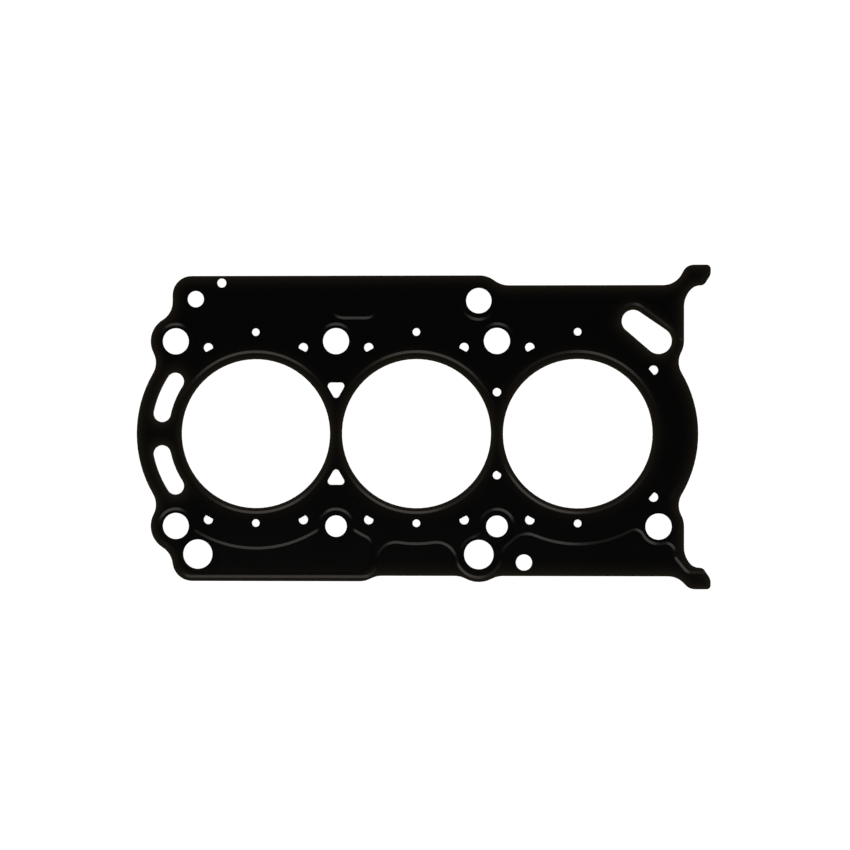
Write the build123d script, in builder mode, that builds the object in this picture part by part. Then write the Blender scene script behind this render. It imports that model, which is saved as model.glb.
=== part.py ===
"""Three-layer steel head gasket for an in-line three-cylinder engine.

X runs along the engine, Y across it and Z through the joint. The origin is on the
axis of the middle cylinder, on the underside of the stack. Sizes are millimetres.
"""

import os
from math import hypot, sqrt

from build123d import *

# ---------------------------------------------------------------- engine pattern
bore_pitch = 80.0
bore_d = 74.0
bolt_row_spacing = 92.0

bore_x = [(i - 1) * bore_pitch for i in range(3)]
bolt_x = [(i - 1.5) * bore_pitch for i in range(4)]
bolt_y = bolt_row_spacing / 2
bolt_reach = hypot(bore_pitch / 2, bolt_y)
bores = [(x, 0) for x in bore_x]
upper_bolts = [(x, bolt_y) for x in bolt_x]
lower_bolts = [(x, -bolt_y) for x in bolt_x]


def beside(point, dx, dy):
    """The place dx along and dy up from a point of the engine pattern."""
    return (point[0] + dx, point[1] + dy)


# ---------------------------------------------------------------- sheets and beads
outer_sheet_t = 0.25
middle_sheet_t = 0.30
bead_h = 0.20
bead_slope = 1.30

middle_z = outer_sheet_t + bead_h
upper_z = middle_z + middle_sheet_t
stack_h = upper_z + outer_sheet_t + bead_h

bore_bead_r = bore_d / 2 + 3.0
bore_bead_w = 2.80
bore_bead_floor_w = 0.30
form_root = 0.10

# ---------------------------------------------------------------- holes
bolt_hole_d = 13.0
dowel_bolt_hole_d = 10.7
oil_hole_d = 14.6
oil_feed_d = 12.6
coolant_slot_w = 8.6
coolant_slot_r = bore_d / 2 + 10.9
coolant_slot_angles = ((147.1, 167.8), (192.2, 212.9))
steam_hole_d = 3.8
steam_hole_y = (bolt_y + 4.5, -bolt_y + 1.5)
bridge_hole_d = 4.1
bridge_hole_y = bore_d / 2 - 16.4
bridge_hole_flat = 1.7
bridge_hole_flat_angle = 52.0
triangle_y = bore_d / 2 - 14.7
triangle_r = 6.2
triangle_corner_r = 1.7
dee_r = 2.3
dee_flat = 1.35
dee_ring_r = bore_d / 2 + 11.9
dee_angles = (
    (61.0, 119.0, 241.0, 299.0),
    (61.0, 119.0, 241.0, 299.0),
    (40.0, 119.0, 241.0, 320.0),
)
open_bolt_slot_r = 5.6

slot_bolt = upper_bolts[3]
slot_end = beside(slot_bolt, -12.6, 9.7)
left_oil_hole = beside(lower_bolts[0], 11.0, -14.0)
middle_oil_hole = beside(lower_bolts[2], -9.0, -14.0)
oil_feed = beside(upper_bolts[2], -9.0, bolt_hole_d / 2 + 13.5)
small_round_holes = [
    (beside(upper_bolts[0], 10.0, 21.0), 8.1),
    (beside(upper_bolts[0], 23.0, 29.0), 4.5),
    (beside(lower_bolts[2], 13.4, -17.9), 8.0),
]

# ---------------------------------------------------------------- outline
end_r = bolt_reach - 1.36
ear_r = bolt_hole_d / 2 + 6.1
notch_r = 10.4
step_r = 11.5

left_side_x = bolt_x[0] - 1.6
right_side_x = bolt_x[3] + ear_r
top_y = bolt_y + 32.55
top_right_y = bolt_y + 27.6
bottom_y = left_oil_hole[1] - oil_hole_d / 2 - 6.1
bottom_right_y = -bolt_y - 24.65
top_left_corner_r = 9.5
top_step_x = (bolt_x[2] - 5.0, bolt_x[2] + 2.4)
bottom_step_x = (bolt_x[1] + 14.5, bolt_x[1] + 20.1)

foot_corner_r = oil_hole_d / 2 + 2.6
foot_corner = (left_oil_hole[0] - 2.8, bottom_y + foot_corner_r)
foot_blend_r = 10.8
side_blend_r = 10.5
oil_boss_r = oil_hole_d / 2 + 6.35
oil_boss_blend_r = 12.0

# horn corners: x from the right side, y from the edge beside it, corner radius
upper_horn = [
    (-4.0, 0.0, 10.3),
    (1.2, 10.05, 6.0),
    (13.2, 10.05, 2.2),
    (13.2, 5.07, 5.0),
    (9.7, -0.25, 2.8),
    (5.1, -0.25, 6.5),
    (0.0, -6.2, 12.0),
]
lower_horn = [
    (0.0, 10.25, 12.0),
    (4.5, 4.35, 6.2),
    (9.3, 4.35, 3.0),
    (13.1, -1.35, 5.0),
    (13.1, -6.35, 2.0),
    (2.7, -6.35, 6.3),
    (-3.5, 0.0, 10.7),
]

# ---------------------------------------------------------------- bead lines
# Every size here is at the foot of the slope, where the sheet starts to rise.
rim_w = 1.65
ring_r = ear_r - rim_w
oil_ring_r = oil_boss_r - rim_w
foot_ring_r = foot_corner_r - rim_w
oil_feed_ring_r = oil_feed_d / 2 + 3.65
jacket_r = bolt_reach - 5.61
left_end_jacket_r = end_r - rim_w
right_end_jacket_r = bolt_reach - 4.31
end_jacket_start = bolt_x[3] - 3.0
jacket_blend_r = 9.35
crescent_blend_r = 8.0
crank_bolt_r = bolt_hole_d / 2 + 2.75
crank_bolt_blend_r = 4.0

well_r = ring_r - 2 * bead_slope - 0.45
oil_well_r = oil_ring_r - 2 * bead_slope - 0.85
oil_link_blend_r = 10.5
well_link_blend_r = 4.2

bump_side_x = bolt_x[1] + 20.65
bump_corner_r = 7.2
bump_side_end_y = bottom_y + rim_w + bump_corner_r
# The blend into the jacket is as large as the bump's side leaves room for.
bump_blend_room = bump_side_x**2 + bump_side_end_y**2 - jacket_r**2
bump_blend_r = min(9.3, bump_blend_room / 2 / (jacket_r - bump_side_x))
ring_blend_r = 7.35

loop_jacket_r = bolt_reach - 3.31
loop_side_x = bump_side_x - 2 * bead_slope - 0.70
loop_corner_r = 7.5
loop_turn_r = 5.0
loop_bolt_blend_r = 3.0

strip_overrun = 17.0
strip_blend_r = 4.0
strip_corner_r = 4.0
strip_turn_r = 4.4
strip_turn_x = right_side_x + 1.3
lower_strip_x = right_side_x - 5.15
upper_strip_y = (top_right_y - 5.4, top_right_y + 2.7)
lower_strip_y = (bottom_right_y + 9.25, bottom_right_y + 1.4)

pad_x = (bolt_x[1] - 3.65, bolt_x[1] + 22.15)
pad_y = max(bolt_y + ring_r - 0.10, jacket_r + 1.50)
pad_corner_r = 7.65
pad_overrun = 6.0


# ---------------------------------------------------------------- geometry helpers
def off_line(a, b, along, across):
    """The place some way along from a to b, and some way across to the left."""
    gap = hypot(b[0] - a[0], b[1] - a[1])
    ux, uy = (b[0] - a[0]) / gap, (b[1] - a[1]) / gap
    return (a[0] + along * ux - across * uy, a[1] + along * uy + across * ux)


def circles_meet(a, radius_a, b, radius_b, side):
    """Where two circles cross, left (1) or right (-1) of the way from a to b."""
    gap = hypot(b[0] - a[0], b[1] - a[1])
    along = (gap**2 + radius_a**2 - radius_b**2) / (2 * gap)
    return off_line(a, b, along, side * sqrt(radius_a**2 - along**2))


def circle_at_x(centre, radius, x, side):
    """Where a circle crosses an upright line, above (1) or below (-1) its centre."""
    return (x, centre[1] + side * sqrt(radius**2 - (x - centre[0]) ** 2))


def circle_at_y(centre, radius, y, side):
    """Where a circle crosses a level line, right (1) or left (-1) of its centre."""
    return (centre[0] + side * sqrt(radius**2 - (y - centre[1]) ** 2), y)


def blend_wedge(a, radius_a, b, radius_b, blend_r, side):
    """Fills the corner between two circles that do not quite meet, out to an arc."""
    centre = circles_meet(a, radius_a + blend_r, b, radius_b + blend_r, side)
    with BuildSketch() as wedge:
        with BuildLine():
            Polyline(a, centre, b, close=True)
        make_face()
        with Locations(centre):
            Circle(blend_r, mode=Mode.SUBTRACT)
    return wedge.sketch


def soften(sketch, blends):
    """Round the sketch's corner nearest to each listed point by its radius."""
    for point, radius in blends:
        fillet(sketch.vertices().sort_by_distance(point)[0], radius)


# ---------------------------------------------------------------- outline
body_corners = [
    (left_side_x, top_y, top_left_corner_r),
    (top_step_x[0], top_y, step_r),
    (top_step_x[1], top_right_y, step_r),
    *[(right_side_x + x, top_right_y + y, r) for x, y, r in upper_horn],
    (right_side_x, bolt_y, 0),
    (bolt_x[3], bolt_y, 0),
    (bore_x[2], 0, 0),
    (bolt_x[3], -bolt_y, 0),
    (right_side_x, -bolt_y, 0),
    *[(right_side_x + x, bottom_right_y + y, r) for x, y, r in lower_horn],
    (bottom_step_x[1], bottom_right_y, step_r),
    (bottom_step_x[0], bottom_y, step_r),
    (foot_corner[0], bottom_y, 0),
    (foot_corner[0], bolt_y, 0),
    (left_side_x, bolt_y, 0),
]
outline_blends = [
    (circles_meet(bores[0], end_r, upper_bolts[0], ear_r, 1), notch_r),
    (circles_meet(bores[0], end_r, lower_bolts[0], ear_r, -1), notch_r),
    (circles_meet(bores[2], end_r, upper_bolts[3], ear_r, -1), notch_r),
    (circles_meet(bores[2], end_r, lower_bolts[3], ear_r, 1), notch_r),
    (circle_at_x(upper_bolts[0], ear_r, left_side_x, 1), side_blend_r),
    (circles_meet(lower_bolts[0], ear_r, foot_corner, foot_corner_r, -1), foot_blend_r),
    (circle_at_y(middle_oil_hole, oil_boss_r, bottom_right_y, -1), oil_boss_blend_r),
    (circle_at_y(middle_oil_hole, oil_boss_r, bottom_right_y, 1), oil_boss_blend_r),
]
with BuildSketch() as outline:
    with BuildLine():
        FilletPolyline(
            [(x, y) for x, y, r in body_corners],
            radius=[r for x, y, r in body_corners],
            close=True,
        )
    make_face()
    with Locations(bores[0], bores[2]):
        Circle(end_r)
    with Locations(upper_bolts[0], upper_bolts[3], lower_bolts[0], lower_bolts[3]):
        Circle(ear_r)
    with Locations(foot_corner):
        Circle(foot_corner_r)
    with Locations(middle_oil_hole):
        Circle(oil_boss_r)
    soften(outline, outline_blends)

# ---------------------------------------------------------------- holes
coolant_arcs = []
for start, end in coolant_slot_angles:
    with BuildLine() as coolant_arc:
        CenterArc(bores[0], coolant_slot_r, start, end - start)
    coolant_arcs.append(coolant_arc.line.edge())

with BuildSketch() as slanted_slot:
    with Locations(slot_bolt):
        Circle(bolt_hole_d / 2)
    with Locations(slot_end):
        Circle(open_bolt_slot_r)
    make_hull()

with BuildSketch() as water_triangles:
    for side in (1, -1):
        with Locations((bolt_x[1], side * triangle_y)):
            RegularPolygon(triangle_r, 3, rotation=-90 * side, align=None)
    fillet(water_triangles.vertices(), triangle_corner_r)

with BuildSketch() as dee_holes:
    for x, angles in zip(bore_x, dee_angles):
        for angle in angles:
            outward = Location((x, 0), angle) * Location((dee_ring_r, 0))
            with Locations(outward):
                Circle(dee_r)
            with Locations(outward * Location((-dee_flat, 0))):
                Rectangle(dee_r, 2 * dee_r, align=(Align.MAX, Align.CENTER), mode=Mode.SUBTRACT)

with BuildSketch() as flatted_hole:
    centre = Location((bolt_x[2], -bridge_hole_y), bridge_hole_flat_angle)
    with Locations(centre):
        Circle(bridge_hole_d / 2)
    with Locations(centre * Location((bridge_hole_flat, 0))):
        Rectangle(
            bridge_hole_d, bridge_hole_d, align=(Align.MIN, Align.CENTER), mode=Mode.SUBTRACT
        )

with BuildSketch() as holes:
    with Locations(bores):
        Circle(bore_d / 2)
    with Locations(upper_bolts[:3], lower_bolts[0], lower_bolts[3]):
        Circle(bolt_hole_d / 2)
    with Locations(lower_bolts[1:3]):
        Circle(dowel_bolt_hole_d / 2)
    with Locations(left_oil_hole, middle_oil_hole):
        Circle(oil_hole_d / 2)
    with Locations(oil_feed):
        Circle(oil_feed_d / 2)
    for place, diameter in small_round_holes:
        with Locations(place):
            Circle(diameter / 2)
    with Locations([(x, y) for x in bore_x for y in steam_hole_y]):
        Circle(steam_hole_d / 2)
    with Locations((bolt_x[2], bridge_hole_y)):
        Circle(bridge_hole_d / 2)
    for arc in coolant_arcs:
        SlotArc(arc, coolant_slot_w)
    add(slanted_slot.sketch)
    add(water_triangles.sketch)
    add(dee_holes.sketch)
    add(flatted_hole.sketch)

# ---------------------------------------------------------------- raised area
bump_blend = blend_wedge(bores[1], jacket_r, middle_oil_hole, oil_ring_r, bump_blend_r, -1)
foot_blend = blend_wedge(
    lower_bolts[0], ring_r, foot_corner, foot_ring_r, foot_blend_r + rim_w, -1
)

with BuildSketch() as jacket_ends:
    with Locations(bores[0]):
        Circle(left_end_jacket_r)
    with Locations(bores[2]):
        Circle(right_end_jacket_r)
    Rectangle(2 * end_jacket_start, 2 * end_r, mode=Mode.SUBTRACT)

with BuildSketch() as slot_ring:
    with Locations(slot_bolt, slot_end):
        Circle(ring_r)
    make_hull()

# The upper strip leaves the slot's ring just past the end of its arc.
upper_strip_start = off_line(slot_bolt, slot_end, 0.5, -ring_r)
horn_strips = []
for side, x, (corner_y, turn_y) in (
    (1, upper_strip_start[0], upper_strip_y),
    (-1, lower_strip_x, lower_strip_y),
):
    with BuildSketch() as horn_strip:
        with BuildLine():
            FilletPolyline(
                (x, side * bolt_y),
                (x, corner_y),
                (strip_turn_x, turn_y),
                (right_side_x + strip_overrun, turn_y),
                (right_side_x + strip_overrun, side * bolt_y),
                radius=[0, strip_corner_r, strip_turn_r, 0, 0],
                close=True,
            )
        make_face()
    horn_strips.append(horn_strip.sketch)

with BuildSketch() as top_pad:
    with BuildLine():
        FilletPolyline(
            (pad_x[0], top_y + pad_overrun),
            (pad_x[0], pad_y),
            (pad_x[1], pad_y),
            (pad_x[1], top_y + pad_overrun),
            radius=[0, pad_corner_r, pad_corner_r, 0],
            close=True,
        )
    make_face()

raised_blends = [
    (circles_meet(bores[0], jacket_r, upper_bolts[0], ring_r, -1), jacket_blend_r),
    (circles_meet(bores[0], jacket_r, upper_bolts[1], ring_r, 1), jacket_blend_r),
    (circles_meet(bores[1], jacket_r, upper_bolts[1], ring_r, -1), jacket_blend_r),
    (circles_meet(bores[1], jacket_r, upper_bolts[2], ring_r, 1), jacket_blend_r),
    (circles_meet(bores[2], jacket_r, upper_bolts[2], ring_r, -1), jacket_blend_r),
    (circles_meet(bores[2], jacket_r, slot_end, ring_r, 1), jacket_blend_r),
    (circles_meet(bores[2], jacket_r, lower_bolts[2], ring_r, 1), jacket_blend_r),
    (circles_meet(bores[2], jacket_r, lower_bolts[3], crank_bolt_r, -1), crank_bolt_blend_r),
    (circles_meet(bores[2], right_end_jacket_r, slot_bolt, ring_r, -1), crescent_blend_r),
    (circles_meet(bores[2], right_end_jacket_r, lower_bolts[3], crank_bolt_r, 1), crescent_blend_r),
    (circles_meet(bores[0], left_end_jacket_r, upper_bolts[0], ring_r, 1), notch_r + rim_w),
    (circles_meet(bores[0], left_end_jacket_r, lower_bolts[0], ring_r, -1), notch_r + rim_w),
    (circles_meet(middle_oil_hole, oil_ring_r, lower_bolts[2], ring_r, -1), ring_blend_r),
    (circle_at_x(bores[1], jacket_r, bump_side_x, -1), bump_blend_r),
    (circle_at_x(lower_bolts[3], crank_bolt_r, lower_strip_x, -1), strip_blend_r),
    (upper_strip_start, strip_blend_r),
]
with BuildSketch() as raised_area:
    with BuildLine():
        FilletPolyline(
            (foot_corner[0], bottom_y + rim_w),
            (bump_side_x, bottom_y + rim_w),
            (bump_side_x, 0),
            lower_bolts[0],
            foot_corner,
            radius=[0, bump_corner_r, 0, 0, 0],
            close=True,
        )
    make_face()
    Polygon(bores[1], middle_oil_hole, lower_bolts[2], align=None)
    with Locations(bores):
        Circle(jacket_r)
    add(jacket_ends.sketch)
    with Locations(upper_bolts[:3], lower_bolts[0], lower_bolts[2]):
        Circle(ring_r)
    with Locations(lower_bolts[3]):
        Circle(crank_bolt_r)
    with Locations(foot_corner):
        Circle(foot_ring_r)
    with Locations(middle_oil_hole):
        Circle(oil_ring_r)
    with Locations(oil_feed):
        Circle(oil_feed_ring_r)
    add(slot_ring.sketch)
    add([bump_blend, foot_blend])
    add(top_pad.sketch)
    add(horn_strips)
    soften(raised_area, raised_blends)

# ---------------------------------------------------------------- wells in the raised area
with BuildSketch() as slot_well:
    with Locations(slot_bolt, slot_end):
        Circle(well_r)
    make_hull()

middle_well_links = [
    blend_wedge(
        middle_oil_hole, oil_well_r, lower_bolts[2], well_r, well_link_blend_r, side
    )
    for side in (1, -1)
]
with BuildSketch() as middle_well:
    with Locations(middle_oil_hole):
        Circle(oil_well_r)
    with Locations(lower_bolts[2]):
        Circle(well_r)
    add(middle_well_links)

loop_blends = [
    (circle_at_x(bores[1], loop_jacket_r, loop_side_x, -1), loop_turn_r),
    (circles_meet(bores[1], loop_jacket_r, lower_bolts[1], well_r, 1), loop_bolt_blend_r),
    (circles_meet(bores[0], loop_jacket_r, lower_bolts[1], well_r, -1), loop_bolt_blend_r),
    (circles_meet(bores[0], loop_jacket_r, lower_bolts[0], well_r, 1), loop_bolt_blend_r),
]
oil_link = blend_wedge(
    lower_bolts[0], well_r, left_oil_hole, oil_well_r, oil_link_blend_r, -1
)
with BuildSketch() as oil_loop:
    with BuildLine():
        FilletPolyline(
            (left_oil_hole[0], left_oil_hole[1] - oil_well_r),
            (loop_side_x, left_oil_hole[1] - oil_well_r),
            (loop_side_x, -bolt_y),
            lower_bolts[0],
            left_oil_hole,
            radius=[0, loop_corner_r, 0, 0, 0],
            close=True,
        )
    make_face()
    with Locations(left_oil_hole):
        Circle(oil_well_r)
    with Locations(bores[:2]):
        Circle(loop_jacket_r, mode=Mode.SUBTRACT)
    with Locations(lower_bolts[:2]):
        Circle(well_r)
    add(oil_link)
    soften(oil_loop, loop_blends)

with BuildSketch() as raised_face:
    add(raised_area.sketch)
    with Locations(upper_bolts[:3]):
        Circle(well_r, mode=Mode.SUBTRACT)
    add(slot_well.sketch, mode=Mode.SUBTRACT)
    add(middle_well.sketch, mode=Mode.SUBTRACT)
    add(oil_loop.sketch, mode=Mode.SUBTRACT)

# ---------------------------------------------------------------- embossed form
groove_top = bead_h + form_root
groove_section = [
    (bore_bead_r - bore_bead_w / 2, groove_top),
    (bore_bead_r - bore_bead_w / 2, bead_h),
    (bore_bead_r - bore_bead_floor_w / 2, 0),
    (bore_bead_r + bore_bead_floor_w / 2, 0),
    (bore_bead_r + bore_bead_w / 2, bead_h),
    (bore_bead_r + bore_bead_w / 2, groove_top),
]
with BuildPart() as bead_form:
    with BuildSketch(Plane.XY.offset(-form_root)):
        add(raised_face.sketch)
    extrude(amount=form_root + bead_h)
    for crest in bead_form.faces().filter_by(Axis.Z).group_by(Axis.Z)[-1]:
        chamfer(crest.edges(), length=bead_slope, length2=bead_h, reference=crest)
    for x in bore_x:
        with BuildSketch(Plane((x, 0, 0), x_dir=(1, 0, 0), z_dir=(0, -1, 0))):
            Polygon(*groove_section, align=None)
        revolve(axis=Axis((x, 0, 0), (0, 0, 1)), mode=Mode.SUBTRACT)

with BuildSketch() as blank:
    add(outline.sketch)
    add(holes.sketch, mode=Mode.SUBTRACT)

# ---------------------------------------------------------------- top sheet
# The slab reaches past the outline all round, and the blank trims it.
slab_l = bolt_x[3] - bolt_x[0] + 2 * end_r
slab_w = bolt_row_spacing + 2 * end_r
with BuildPart() as top_sheet:
    with BuildSketch(Plane.XY.offset(upper_z)):
        Rectangle(slab_l, slab_w)
    extrude(amount=outer_sheet_t)
    add(bead_form.part.moved(Location((0, 0, upper_z + outer_sheet_t))))
    with BuildSketch(Plane.XY.offset(upper_z)):
        add(blank.sketch)
    extrude(amount=stack_h - upper_z, mode=Mode.INTERSECT)
    add(bead_form.part.moved(Location((0, 0, upper_z))), mode=Mode.SUBTRACT)

# ---------------------------------------------------------------- middle sheet
with BuildPart() as middle_sheet:
    with BuildSketch(Plane.XY.offset(middle_z)):
        add(blank.sketch)
    extrude(amount=middle_sheet_t)

# ---------------------------------------------------------------- bottom sheet
with BuildPart() as bottom_sheet:
    mirror(top_sheet.part, about=Plane.XY.offset(stack_h / 2))

os.makedirs("parts", exist_ok=True)
top_sheet.part.label = "top_sheet"
middle_sheet.part.label = "middle_sheet"
bottom_sheet.part.label = "bottom_sheet"
export_step(top_sheet.part, "parts/top_sheet.step")
export_step(middle_sheet.part, "parts/middle_sheet.step")
export_step(bottom_sheet.part, "parts/bottom_sheet.step")
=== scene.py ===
"""Looks of a three-layer steel head gasket.

The two outer sheets carry a black sealing coat that thins towards every long cut edge.
The middle sheet is bare rolled steel. Lengths are metres, as in the CAD frame.
"""

from math import asin, cos, radians, sin

import bmesh
import bpy
from mathutils import Matrix, Vector
from mathutils.kdtree import KDTree


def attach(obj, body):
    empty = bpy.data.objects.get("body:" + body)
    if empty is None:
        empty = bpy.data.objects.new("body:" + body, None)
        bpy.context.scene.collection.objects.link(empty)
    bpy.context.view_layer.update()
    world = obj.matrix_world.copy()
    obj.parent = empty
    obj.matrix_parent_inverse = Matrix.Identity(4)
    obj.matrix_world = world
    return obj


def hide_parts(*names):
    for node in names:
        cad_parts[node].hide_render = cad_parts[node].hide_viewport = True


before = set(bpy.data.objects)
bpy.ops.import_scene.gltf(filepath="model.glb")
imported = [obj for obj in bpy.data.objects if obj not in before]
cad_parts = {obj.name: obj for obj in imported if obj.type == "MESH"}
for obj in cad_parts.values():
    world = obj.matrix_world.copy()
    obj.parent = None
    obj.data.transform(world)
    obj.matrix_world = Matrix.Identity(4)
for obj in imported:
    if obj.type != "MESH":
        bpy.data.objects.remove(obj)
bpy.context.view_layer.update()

MM = 0.001
UNIT = (0.0, 1.0)
WHITE = (1.0, 1.0, 1.0, 1.0)

# ---------------------------------------------------------------- sheet meshes
ABOVE, BELOW, NEITHER = 1, -1, 0
WELD_DIST = 0.002 * MM
FLAT_ANGLE = radians(0.3)
CREASE_ANGLE = radians(4.0)
WALL_CREASE_ANGLE = radians(30.0)
SKIN_TILT = 0.5
GRID_STEP = 2.0 * MM
RIM_SAMPLE = 0.4 * MM
RIM_FAR_MM = 8.0
SMALL_HOLE_RIM = 50 * MM


def merged_sheet(cad_node):
    """The sheet as one closed mesh with its flat areas joined up."""
    bm = bmesh.new()
    bm.from_mesh(cad_node.data)
    bmesh.ops.remove_doubles(bm, verts=bm.verts, dist=WELD_DIST)
    bmesh.ops.dissolve_limit(
        bm, angle_limit=FLAT_ANGLE, verts=bm.verts, edges=bm.edges
    )
    bm.normal_update()
    return bm


def skin_faces(bm, side):
    """The faces of the rolled surface on one side, above or below."""
    return [f for f in bm.faces if f.normal.z * side > SKIN_TILT]


def lay_grid(bm, side):
    """Divide one skin into small squares, so that a value can change across it."""
    low = [min(v.co[axis] for v in bm.verts) for axis in (0, 1)]
    high = [max(v.co[axis] for v in bm.verts) for axis in (0, 1)]
    for axis in (0, 1):
        normal = Vector((0, 0, 0))
        normal[axis] = 1
        for i in range(1, int((high[axis] - low[axis]) / GRID_STEP) + 1):
            place = normal * (low[axis] + i * GRID_STEP)
            faces = skin_faces(bm, side)
            geom = faces + list(dict.fromkeys(e for f in faces for e in f.edges))
            geom += list(dict.fromkeys(v for f in faces for v in f.verts))
            bmesh.ops.bisect_plane(
                bm, geom=geom, dist=WELD_DIST, plane_co=place, plane_no=normal
            )
    bm.normal_update()


def rim_loops(bm, side):
    """The closed lines of cut edge that bound one skin, each as a list of edges."""
    waiting = set()
    for edge in bm.edges:
        tilts = [f.normal.z * side for f in edge.link_faces]
        if max(tilts) > SKIN_TILT and min(map(abs, tilts)) < SKIN_TILT:
            waiting.add(edge)
    loops = []
    while waiting:
        loop, ends = [], [waiting.pop()]
        while ends:
            edge = ends.pop()
            loop.append(edge)
            near = {e for v in edge.verts for e in v.link_edges} & waiting
            waiting -= near
            ends += near
        loops.append(loop)
    return loops


def rim_points(bm, side):
    """Points along the outline and the larger openings, where the coat runs thin."""
    points = []
    for loop in rim_loops(bm, side):
        if sum(edge.calc_length() for edge in loop) < SMALL_HOLE_RIM:
            continue
        for edge in loop:
            a, b = (v.co.xy for v in edge.verts)
            steps = max(1, round((b - a).length / RIM_SAMPLE))
            points += [a.lerp(b, i / steps) for i in range(steps + 1)]
    return points


def write_rim_distance(bm, side):
    """Give every corner its distance from the nearest long cut edge, in millimetres."""
    points = rim_points(bm, side)
    rim = KDTree(len(points))
    for i, point in enumerate(points):
        rim.insert(point.to_3d(), i)
    rim.balance()
    layer = bm.verts.layers.float.new("rim_mm")
    for vert in bm.verts:
        _, _, distance = rim.find(vert.co.xy.to_3d())
        vert[layer] = min(distance / MM, RIM_FAR_MM)


def crease(bm):
    """Round shading along the slopes and walls, and a crisp line where they turn."""
    for edge in bm.edges:
        walls = sum(abs(f.normal.z) < SKIN_TILT for f in edge.link_faces)
        limit = WALL_CREASE_ANGLE if walls == 2 else CREASE_ANGLE
        edge.smooth = edge.calc_face_angle(0) < limit
    for face in bm.faces:
        face.smooth = True


def make_sheet(name, cad_name, coated_side, materials):
    """A sheet that stands for its CAD node: skin material first, cut edge second."""
    bm = merged_sheet(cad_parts[cad_name])
    if coated_side != NEITHER:
        lay_grid(bm, coated_side)
        write_rim_distance(bm, coated_side)
    crease(bm)
    for face in bm.faces:
        face.material_index = int(abs(face.normal.z) < SKIN_TILT)
    mesh = bpy.data.meshes.new(name)
    bm.to_mesh(mesh)
    bm.free()
    for material in materials:
        mesh.materials.append(material)
    piece = bpy.data.objects.new(name, mesh)
    bpy.context.scene.collection.objects.link(piece)
    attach(piece, "root")
    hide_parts(cad_name)
    return piece


# ---------------------------------------------------------------- node helpers
MIX_SHARE, MIX_LOW, MIX_HIGH, MIX_RESULT = 0, 6, 7, 2  # a Mix node's colour sockets
NUMBER, VECTOR = "NodeSocketFloat", "NodeSocketVector"


def put(tree, kind, values=None, **settings):
    """Add a node with its settings and socket values; a socket value is a link."""
    made = tree.nodes.new(kind)
    for key, value in settings.items():
        setattr(made, key, value)
    for key, value in (values or {}).items():
        if isinstance(value, bpy.types.NodeSocket):
            tree.links.new(value, made.inputs[key])
        else:
            made.inputs[key].default_value = value
    return made


def maths(tree, operation, *values):
    """The result of one Math node on the values."""
    sockets = dict(enumerate(values))
    return put(tree, "ShaderNodeMath", sockets, operation=operation).outputs[0]


def rescale(tree, value, old, new, curve="LINEAR"):
    """The value moved from its old range, low and high, to a new one."""
    node = put(
        tree, "ShaderNodeMapRange",
        {"Value": value, "From Min": old[0], "From Max": old[1],
         "To Min": new[0], "To Max": new[1]},
        interpolation_type=curve,
    )
    return node.outputs["Result"]


def mix_colour(tree, share, low, high):
    """The colour between low and high at the given share."""
    node = put(
        tree, "ShaderNodeMix", {MIX_SHARE: share, MIX_LOW: low, MIX_HIGH: high},
        data_type="RGBA", clamp_factor=True,
    )
    return node.outputs[MIX_RESULT]


def noise(tree, place, scale, character):
    """A noise pattern at a place, with a character of detail and roughness."""
    sockets = {"Vector": place, "Scale": scale, **character}
    return put(tree, "ShaderNodeTexNoise", sockets).outputs["Fac"]


def new_group(name, inputs, outputs):
    """A shader node group, with the sockets that come into it and go out of it."""
    tree = bpy.data.node_groups.new(name, "ShaderNodeTree")
    for title, kind in inputs.items():
        tree.interface.new_socket(title, in_out="INPUT", socket_type=kind)
    for title in outputs:
        tree.interface.new_socket(title, in_out="OUTPUT", socket_type=NUMBER)
    come = tree.nodes.new("NodeGroupInput").outputs
    go = tree.nodes.new("NodeGroupOutput").inputs
    return tree, come, go


def put_group(tree, group, values):
    """Place a shared effect in a material with that material's own values."""
    return put(tree, "ShaderNodeGroup", values, node_tree=group)


def new_material(name):
    """A material with its node tree and a Principled shader."""
    material = bpy.data.materials.new(name)
    material.use_nodes = True
    tree = material.node_tree
    tree.nodes.clear()
    return material, tree, tree.nodes.new("ShaderNodeBsdfPrincipled")


def show(tree, surface, kind="ShaderNodeOutputMaterial"):
    """Join a finished surface, or the world's light, to its output."""
    output = tree.nodes.new(kind)
    tree.links.new(surface, output.inputs["Surface"])


def own_place(tree):
    """The object's own coordinates."""
    return tree.nodes.new("ShaderNodeTexCoord").outputs["Object"]


def dress(tree, shader, colour, roughness, height, relief):
    """Show a shader with a colour, a roughness, and a relief of strength and depth."""
    strength, depth = relief
    bump = put(
        tree, "ShaderNodeBump",
        {"Height": height, "Strength": strength, "Distance": depth},
    )
    tree.links.new(colour, shader.inputs["Base Color"])
    tree.links.new(roughness, shader.inputs["Roughness"])
    tree.links.new(bump.outputs["Normal"], shader.inputs["Normal"])
    show(tree, shader.outputs["BSDF"])


# ---------------------------------------------------------------- shared effects
GRAIN_CHARACTER = {"Detail": 3.0, "Roughness": 0.55}
PATCH_CHARACTER = {"Detail": 4.0, "Roughness": 0.6, "Distortion": 0.3}
STREAK_CHARACTER = {"Detail": 5.0, "Roughness": 0.65}
STREAK_CONTRAST = (0.38, 0.62)


def grain_effect():
    """Fine orange-peel grain with a broader unevenness, for a rolled-on coat."""
    tree, come, go = new_group(
        "coat_grain", {"Place": VECTOR, "Grain": NUMBER, "Patch": NUMBER},
        ["Height", "Patches"],
    )
    fine = noise(tree, come["Place"], come["Grain"], GRAIN_CHARACTER)
    broad = noise(tree, come["Place"], come["Patch"], PATCH_CHARACTER)
    tree.links.new(fine, go["Height"])
    tree.links.new(broad, go["Patches"])
    return tree


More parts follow.
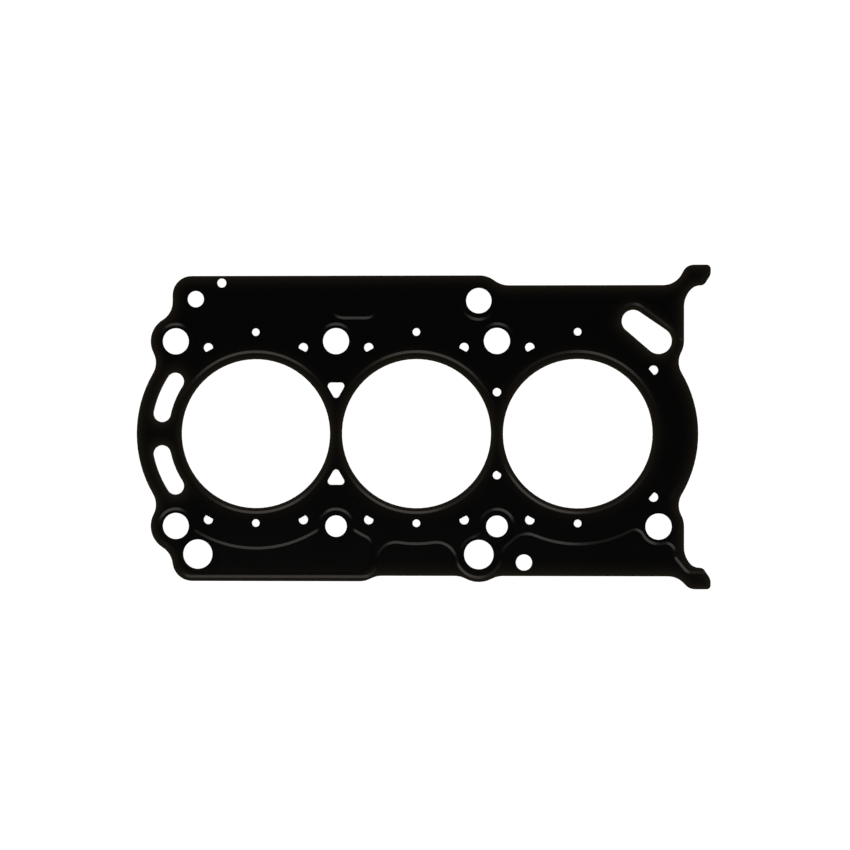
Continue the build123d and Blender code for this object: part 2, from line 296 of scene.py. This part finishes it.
def streak_effect():
    """Long thin marks along one direction, for rolled or sheared steel."""
    tree, come, go = new_group(
        "steel_streaks", {"Place": VECTOR, "Stretch": VECTOR, "Scale": NUMBER},
        ["Height", "Bands"],
    )
    along = put(
        tree, "ShaderNodeVectorMath", {0: come["Place"], 1: come["Stretch"]},
        operation="MULTIPLY",
    )
    lines = noise(tree, along.outputs[0], come["Scale"], STREAK_CHARACTER)
    bands = rescale(tree, lines, STREAK_CONTRAST, UNIT)
    tree.links.new(lines, go["Height"])
    tree.links.new(bands, go["Bands"])
    return tree


def rim_effect():
    """How thin the coat has become, from 0 inside to 1 at a cut edge."""
    tree, come, go = new_group(
        "rim_thinning", {"Distance": NUMBER, "Reach": NUMBER}, ["Thinning"]
    )
    ratio = maths(tree, "DIVIDE", come["Distance"], come["Reach"])
    fade = maths(tree, "MULTIPLY", ratio, -1.0)
    tree.links.new(maths(tree, "EXPONENT", fade), go["Thinning"])
    return tree


# ---------------------------------------------------------------- finishes
COAT_BLACK = (0.0010, 0.0010, 0.0011, 1.0)
COAT_PATCH = (0.0015, 0.0015, 0.0017, 1.0)
COAT_THIN = (0.0150, 0.0122, 0.0078, 1.0)
COAT_GRAIN = 1600.0
COAT_PATCHES = 45.0
COAT_REACH_MM = 2.6
COAT_ROUGHNESS = (0.13, 0.17)
COAT_RELIEF = (0.12, 0.04 * MM)
COAT_IOR = 1.38

STEEL_DARK = (0.30, 0.29, 0.27, 1.0)
STEEL_LIGHT = (0.46, 0.45, 0.43, 1.0)
STEEL_RELIEF = (0.25, 0.02 * MM)
SHEARED_STRETCH = (1.0, 1.0, 0.08)
SHEARED_SCALE = 2600.0
SHEARED_ROUGHNESS = (0.30, 0.46)
ROLLED_STRETCH = (0.04, 1.0, 1.0)
ROLLED_SCALE = 1400.0
ROLLED_ROUGHNESS = (0.24, 0.36)

coat_grain = grain_effect()
steel_streaks = streak_effect()
rim_thinning = rim_effect()


def coated_finish():
    """Black sealing coat on spring steel."""
    material, tree, shader = new_material("black_sealing_coat")
    surface = put_group(
        tree, coat_grain,
        {"Place": own_place(tree), "Grain": COAT_GRAIN, "Patch": COAT_PATCHES},
    )
    distance = put(tree, "ShaderNodeAttribute", attribute_name="rim_mm")
    thinning = put_group(
        tree, rim_thinning,
        {"Distance": distance.outputs["Fac"], "Reach": COAT_REACH_MM},
    )
    patches = surface.outputs["Patches"]
    patched = mix_colour(tree, patches, COAT_BLACK, COAT_PATCH)
    colour = mix_colour(tree, thinning.outputs["Thinning"], patched, COAT_THIN)
    roughness = rescale(tree, patches, UNIT, COAT_ROUGHNESS)
    dress(tree, shader, colour, roughness, surface.outputs["Height"], COAT_RELIEF)
    shader.inputs["IOR"].default_value = COAT_IOR
    return material


def steel_finish(name, stretch, scale, rough_range):
    """Bare steel with streaks along its rolling or shearing direction."""
    material, tree, shader = new_material(name)
    marks = put_group(
        tree, steel_streaks,
        {"Place": own_place(tree), "Stretch": stretch, "Scale": scale},
    )
    bands = marks.outputs["Bands"]
    colour = mix_colour(tree, bands, STEEL_DARK, STEEL_LIGHT)
    roughness = rescale(tree, bands, UNIT, rough_range)
    dress(tree, shader, colour, roughness, marks.outputs["Height"], STEEL_RELIEF)
    shader.inputs["Metallic"].default_value = 1.0
    return material


sealing_coat = coated_finish()
cut_steel = steel_finish(
    "sheared_steel_edge", SHEARED_STRETCH, SHEARED_SCALE, SHEARED_ROUGHNESS
)
rolled_steel = steel_finish(
    "rolled_spring_steel", ROLLED_STRETCH, ROLLED_SCALE, ROLLED_ROUGHNESS
)

# ---------------------------------------------------------------- the three sheets
coated, bare = (sealing_coat, cut_steel), (rolled_steel, cut_steel)
top = make_sheet("top_sheet_coated", "top_sheet", ABOVE, coated)
middle = make_sheet("middle_sheet_bare", "middle_sheet", NEITHER, bare)
bottom = make_sheet("bottom_sheet_coated", "bottom_sheet", BELOW, coated)

# ---------------------------------------------------------------- camera
CAMERA_DISTANCE = 1500 * MM
CAMERA_TARGET = Vector((4.29, 4.30, 1.2)) * MM
CAMERA_LEAN = asin(0.042)
CLIP_NEAR, CLIP_FAR = 0.01, 60.0
FRAME_PIXELS = 850
SENSOR_WIDTH = 36.0
METRES_PER_PIXEL = 0.49695 * MM

camera_data = bpy.data.cameras.new("camera")
camera_data.sensor_width = SENSOR_WIDTH
view_width = METRES_PER_PIXEL * FRAME_PIXELS
camera_data.lens = SENSOR_WIDTH * CAMERA_DISTANCE / cos(CAMERA_LEAN) / view_width
camera_data.clip_start = CLIP_NEAR
camera_data.clip_end = CLIP_FAR
camera = bpy.data.objects.new("camera", camera_data)
back = Vector((sin(CAMERA_LEAN), 0, cos(CAMERA_LEAN)))
across = Vector((cos(CAMERA_LEAN), 0, -sin(CAMERA_LEAN)))
turn = Matrix((across, Vector((0, 1, 0)), back)).transposed().to_4x4()
camera.matrix_world = Matrix.Translation(CAMERA_TARGET + back * CAMERA_DISTANCE) @ turn
bpy.context.scene.collection.objects.link(camera)
bpy.context.scene.camera = camera

# ---------------------------------------------------------------- light
SOFTBOX_PLACE = Vector((-190, -482, 1500)) * MM
SOFTBOX_SIZE = (570 * MM, 345 * MM)
SOFTBOX_WATTS = 1.02
FILL_PLACE = Vector((20, -560, 1510)) * MM
FILL_SIZE = (1200 * MM, 500 * MM)
FILL_WATTS = 0.54
LAMP_TINT = (1.0, 0.93, 0.86)

# A height in the world is the upward part of a direction: 0 at the horizon, 1 overhead.
DOME_HEIGHTS = (0.90, 0.50)
DOME_LIGHT = (0.006, 1.90)
LOW_HEIGHTS = (0.22, 0.55)
LOW_SHARE = (0.25, 1.0)
BAND_HEIGHTS = (0.18, 0.08)


def hang_softbox(name, place, size, watts):
    """A rectangular lamp that faces straight down."""
    data = bpy.data.lights.new(name, "AREA")
    data.shape = "RECTANGLE"
    data.size, data.size_y = size
    data.energy = watts
    data.color = LAMP_TINT
    lamp = bpy.data.objects.new(name, data)
    lamp.location = place
    lamp.visible_camera = False
    bpy.context.scene.collection.objects.link(lamp)


def studio_world():
    """Dark overhead, bright round the sides, dimmer low down, white at the horizon."""
    world = bpy.data.worlds.new("studio")
    world.use_nodes = True
    tree = world.node_tree
    tree.nodes.clear()
    direction = tree.nodes.new("ShaderNodeTexCoord").outputs["Generated"]
    height = put(tree, "ShaderNodeSeparateXYZ", {0: direction}).outputs["Z"]
    dome = rescale(tree, height, DOME_HEIGHTS, DOME_LIGHT, "SMOOTHSTEP")
    low_share = rescale(tree, height, LOW_HEIGHTS, LOW_SHARE, "SMOOTHSTEP")
    band = rescale(tree, height, BAND_HEIGHTS, UNIT)
    strength = maths(tree, "MAXIMUM", maths(tree, "MULTIPLY", dome, low_share), band)
    light = put(tree, "ShaderNodeBackground", {"Color": WHITE, "Strength": strength})
    show(tree, light.outputs[0], "ShaderNodeOutputWorld")
    return world


hang_softbox("softbox", SOFTBOX_PLACE, SOFTBOX_SIZE, SOFTBOX_WATTS)
hang_softbox("wide_fill", FILL_PLACE, FILL_SIZE, FILL_WATTS)
bpy.context.scene.world = studio_world()

# ---------------------------------------------------------------- floor
FLOOR_HALF = 20.0
FLOOR_DROP = 0.02 * MM
FLOOR_GLOW = 0.85
PAPER_GREY = (0.40, 0.40, 0.40, 1.0)
PAPER_ROUGHNESS = 0.9


def paper_finish():
    """Pale matt paper that shows white to the camera and is clear from below."""
    material, tree, shader = new_material("white_paper")
    path = tree.nodes.new("ShaderNodeLightPath").outputs
    seen = maths(tree, "MAXIMUM", path["Is Camera Ray"], path["Is Transmission Ray"])
    shown = maths(tree, "MAXIMUM", seen, path["Is Glossy Ray"])
    glow = maths(tree, "MULTIPLY", shown, FLOOR_GLOW)
    shader.inputs["Base Color"].default_value = PAPER_GREY
    shader.inputs["Roughness"].default_value = PAPER_ROUGHNESS
    shader.inputs["Specular IOR Level"].default_value = 0.0
    shader.inputs["Emission Color"].default_value = WHITE
    tree.links.new(glow, shader.inputs["Emission Strength"])
    under_side = tree.nodes.new("ShaderNodeNewGeometry").outputs["Backfacing"]
    clear = tree.nodes.new("ShaderNodeBsdfTransparent").outputs[0]
    one_sided = put(
        tree, "ShaderNodeMixShader", {0: under_side, 1: shader.outputs[0], 2: clear}
    )
    show(tree, one_sided.outputs[0])
    return material


bm = bmesh.new()
bmesh.ops.create_grid(bm, x_segments=1, y_segments=1, size=FLOOR_HALF)
bmesh.ops.translate(bm, verts=bm.verts, vec=(0, 0, -FLOOR_DROP))
floor_mesh = bpy.data.meshes.new("floor")
bm.to_mesh(floor_mesh)
bm.free()
floor_mesh.materials.append(paper_finish())
floor = bpy.data.objects.new("floor", floor_mesh)
bpy.context.scene.collection.objects.link(floor)

bpy.context.scene.view_settings.view_transform = "Standard"
